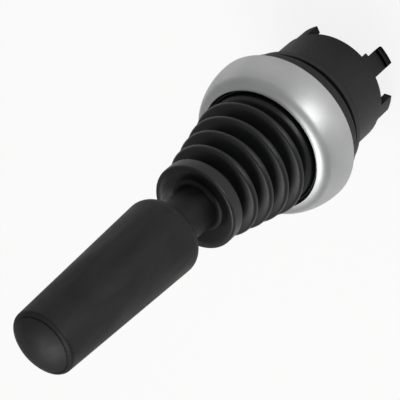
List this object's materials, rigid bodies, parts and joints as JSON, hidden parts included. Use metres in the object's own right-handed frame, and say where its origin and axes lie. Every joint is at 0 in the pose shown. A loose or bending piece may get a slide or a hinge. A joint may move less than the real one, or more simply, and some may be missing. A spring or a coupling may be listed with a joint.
{
  "type": "industrial joystick",
  "caption": "Panel-mounted joystick head: tapered grip on a two-axis gimbal, rubber bellows, domed silver bezel, round housing with bayonet lugs and sprung plungers at the back",
  "frame": {"origin": "on the lever's axis, at the panel face that the gasket seats on", "axes": "+Z along the upright lever towards the grip, +X and +Y along the two tilt axes"},
  "size_m": [0.0296, 0.0296, 0.0913],
  "materials": {
    "housing_plastic": "dark grey-black moulded polyamide, fine matt",
    "bezel_silver": "satin silver finish on a moulded ring",
    "rubber": "black moulded elastomer",
    "grip_plastic": "black moulded plastic, matt",
    "steel": "turned steel",
    "spring_steel": "drawn spring wire",
    "brass": "turned brass",
    "plunger_plastic": "natural acetal"
  },
  "bodies": {
    "base": {"housing": "housing_plastic", "panel_gasket": "rubber", "bezel": "bezel_silver", "retaining_ring": "housing_plastic", "bellows": "rubber", "gate_plate": "steel", "gimbal_pins": "steel", "rear_cover": "housing_plastic", "plunger_guides": "brass", "cover_screws": "steel"},
    "gimbal": {"gimbal_ring": "steel", "hub_pins": "steel"},
    "lever": {"lever_rod": "steel", "hub": "steel", "swash_plate": "steel", "rod_clip": "spring_steel", "neck_sleeve": "grip_plastic", "thread_insert": "brass", "grip": "grip_plastic"},
    "plunger_right": {"plunger_right": "plunger_plastic", "spring_right": "spring_steel"},
    "plunger_left": {"plunger_left": "plunger_plastic", "spring_left": "spring_steel"},
    "plunger_back": {"plunger_back": "plunger_plastic", "spring_back": "spring_steel"},
    "plunger_front": {"plunger_front": "plunger_plastic", "spring_front": "spring_steel"}
  },
  "joints": [
    {"name": "tilt_back_front", "type": "hinge", "parent": "base", "child": "gimbal", "pos_m": [0, 0, 0.003], "axis": [1, 0, 0], "range_deg": [-12, 12], "stiffness_Nm_per_rad": 0.8},
    {"name": "tilt_right_left", "type": "hinge", "parent": "gimbal", "child": "lever", "pos_m": [0, 0, 0.003], "axis": [0, 1, 0], "range_deg": [-12, 12], "stiffness_Nm_per_rad": 0.8, "deforming": ["bellows"]},
    {"name": "plunger_right_slide", "type": "slide", "parent": "base", "child": "plunger_right", "axis": [0, 0, 1], "range_m": [-0.00129, 0.00129], "deforming": ["spring_right"]},
    {"name": "plunger_left_slide", "type": "slide", "parent": "base", "child": "plunger_left", "axis": [0, 0, 1], "range_m": [-0.00129, 0.00129], "deforming": ["spring_left"]},
    {"name": "plunger_back_slide", "type": "slide", "parent": "base", "child": "plunger_back", "axis": [0, 0, 1], "range_m": [-0.00129, 0.00129], "deforming": ["spring_back"]},
    {"name": "plunger_front_slide", "type": "slide", "parent": "base", "child": "plunger_front", "axis": [0, 0, 1], "range_m": [-0.00129, 0.00129], "deforming": ["spring_front"]}
  ],
  "couplings": [
    {"joint": "plunger_right_slide", "follows": "tilt_right_left", "m_per_rad": -0.006089},
    {"joint": "plunger_left_slide", "follows": "tilt_right_left", "m_per_rad": 0.006089},
    {"joint": "plunger_back_slide", "follows": "tilt_back_front", "m_per_rad": 0.006089},
    {"joint": "plunger_front_slide", "follows": "tilt_back_front", "m_per_rad": -0.006089}
  ]
}
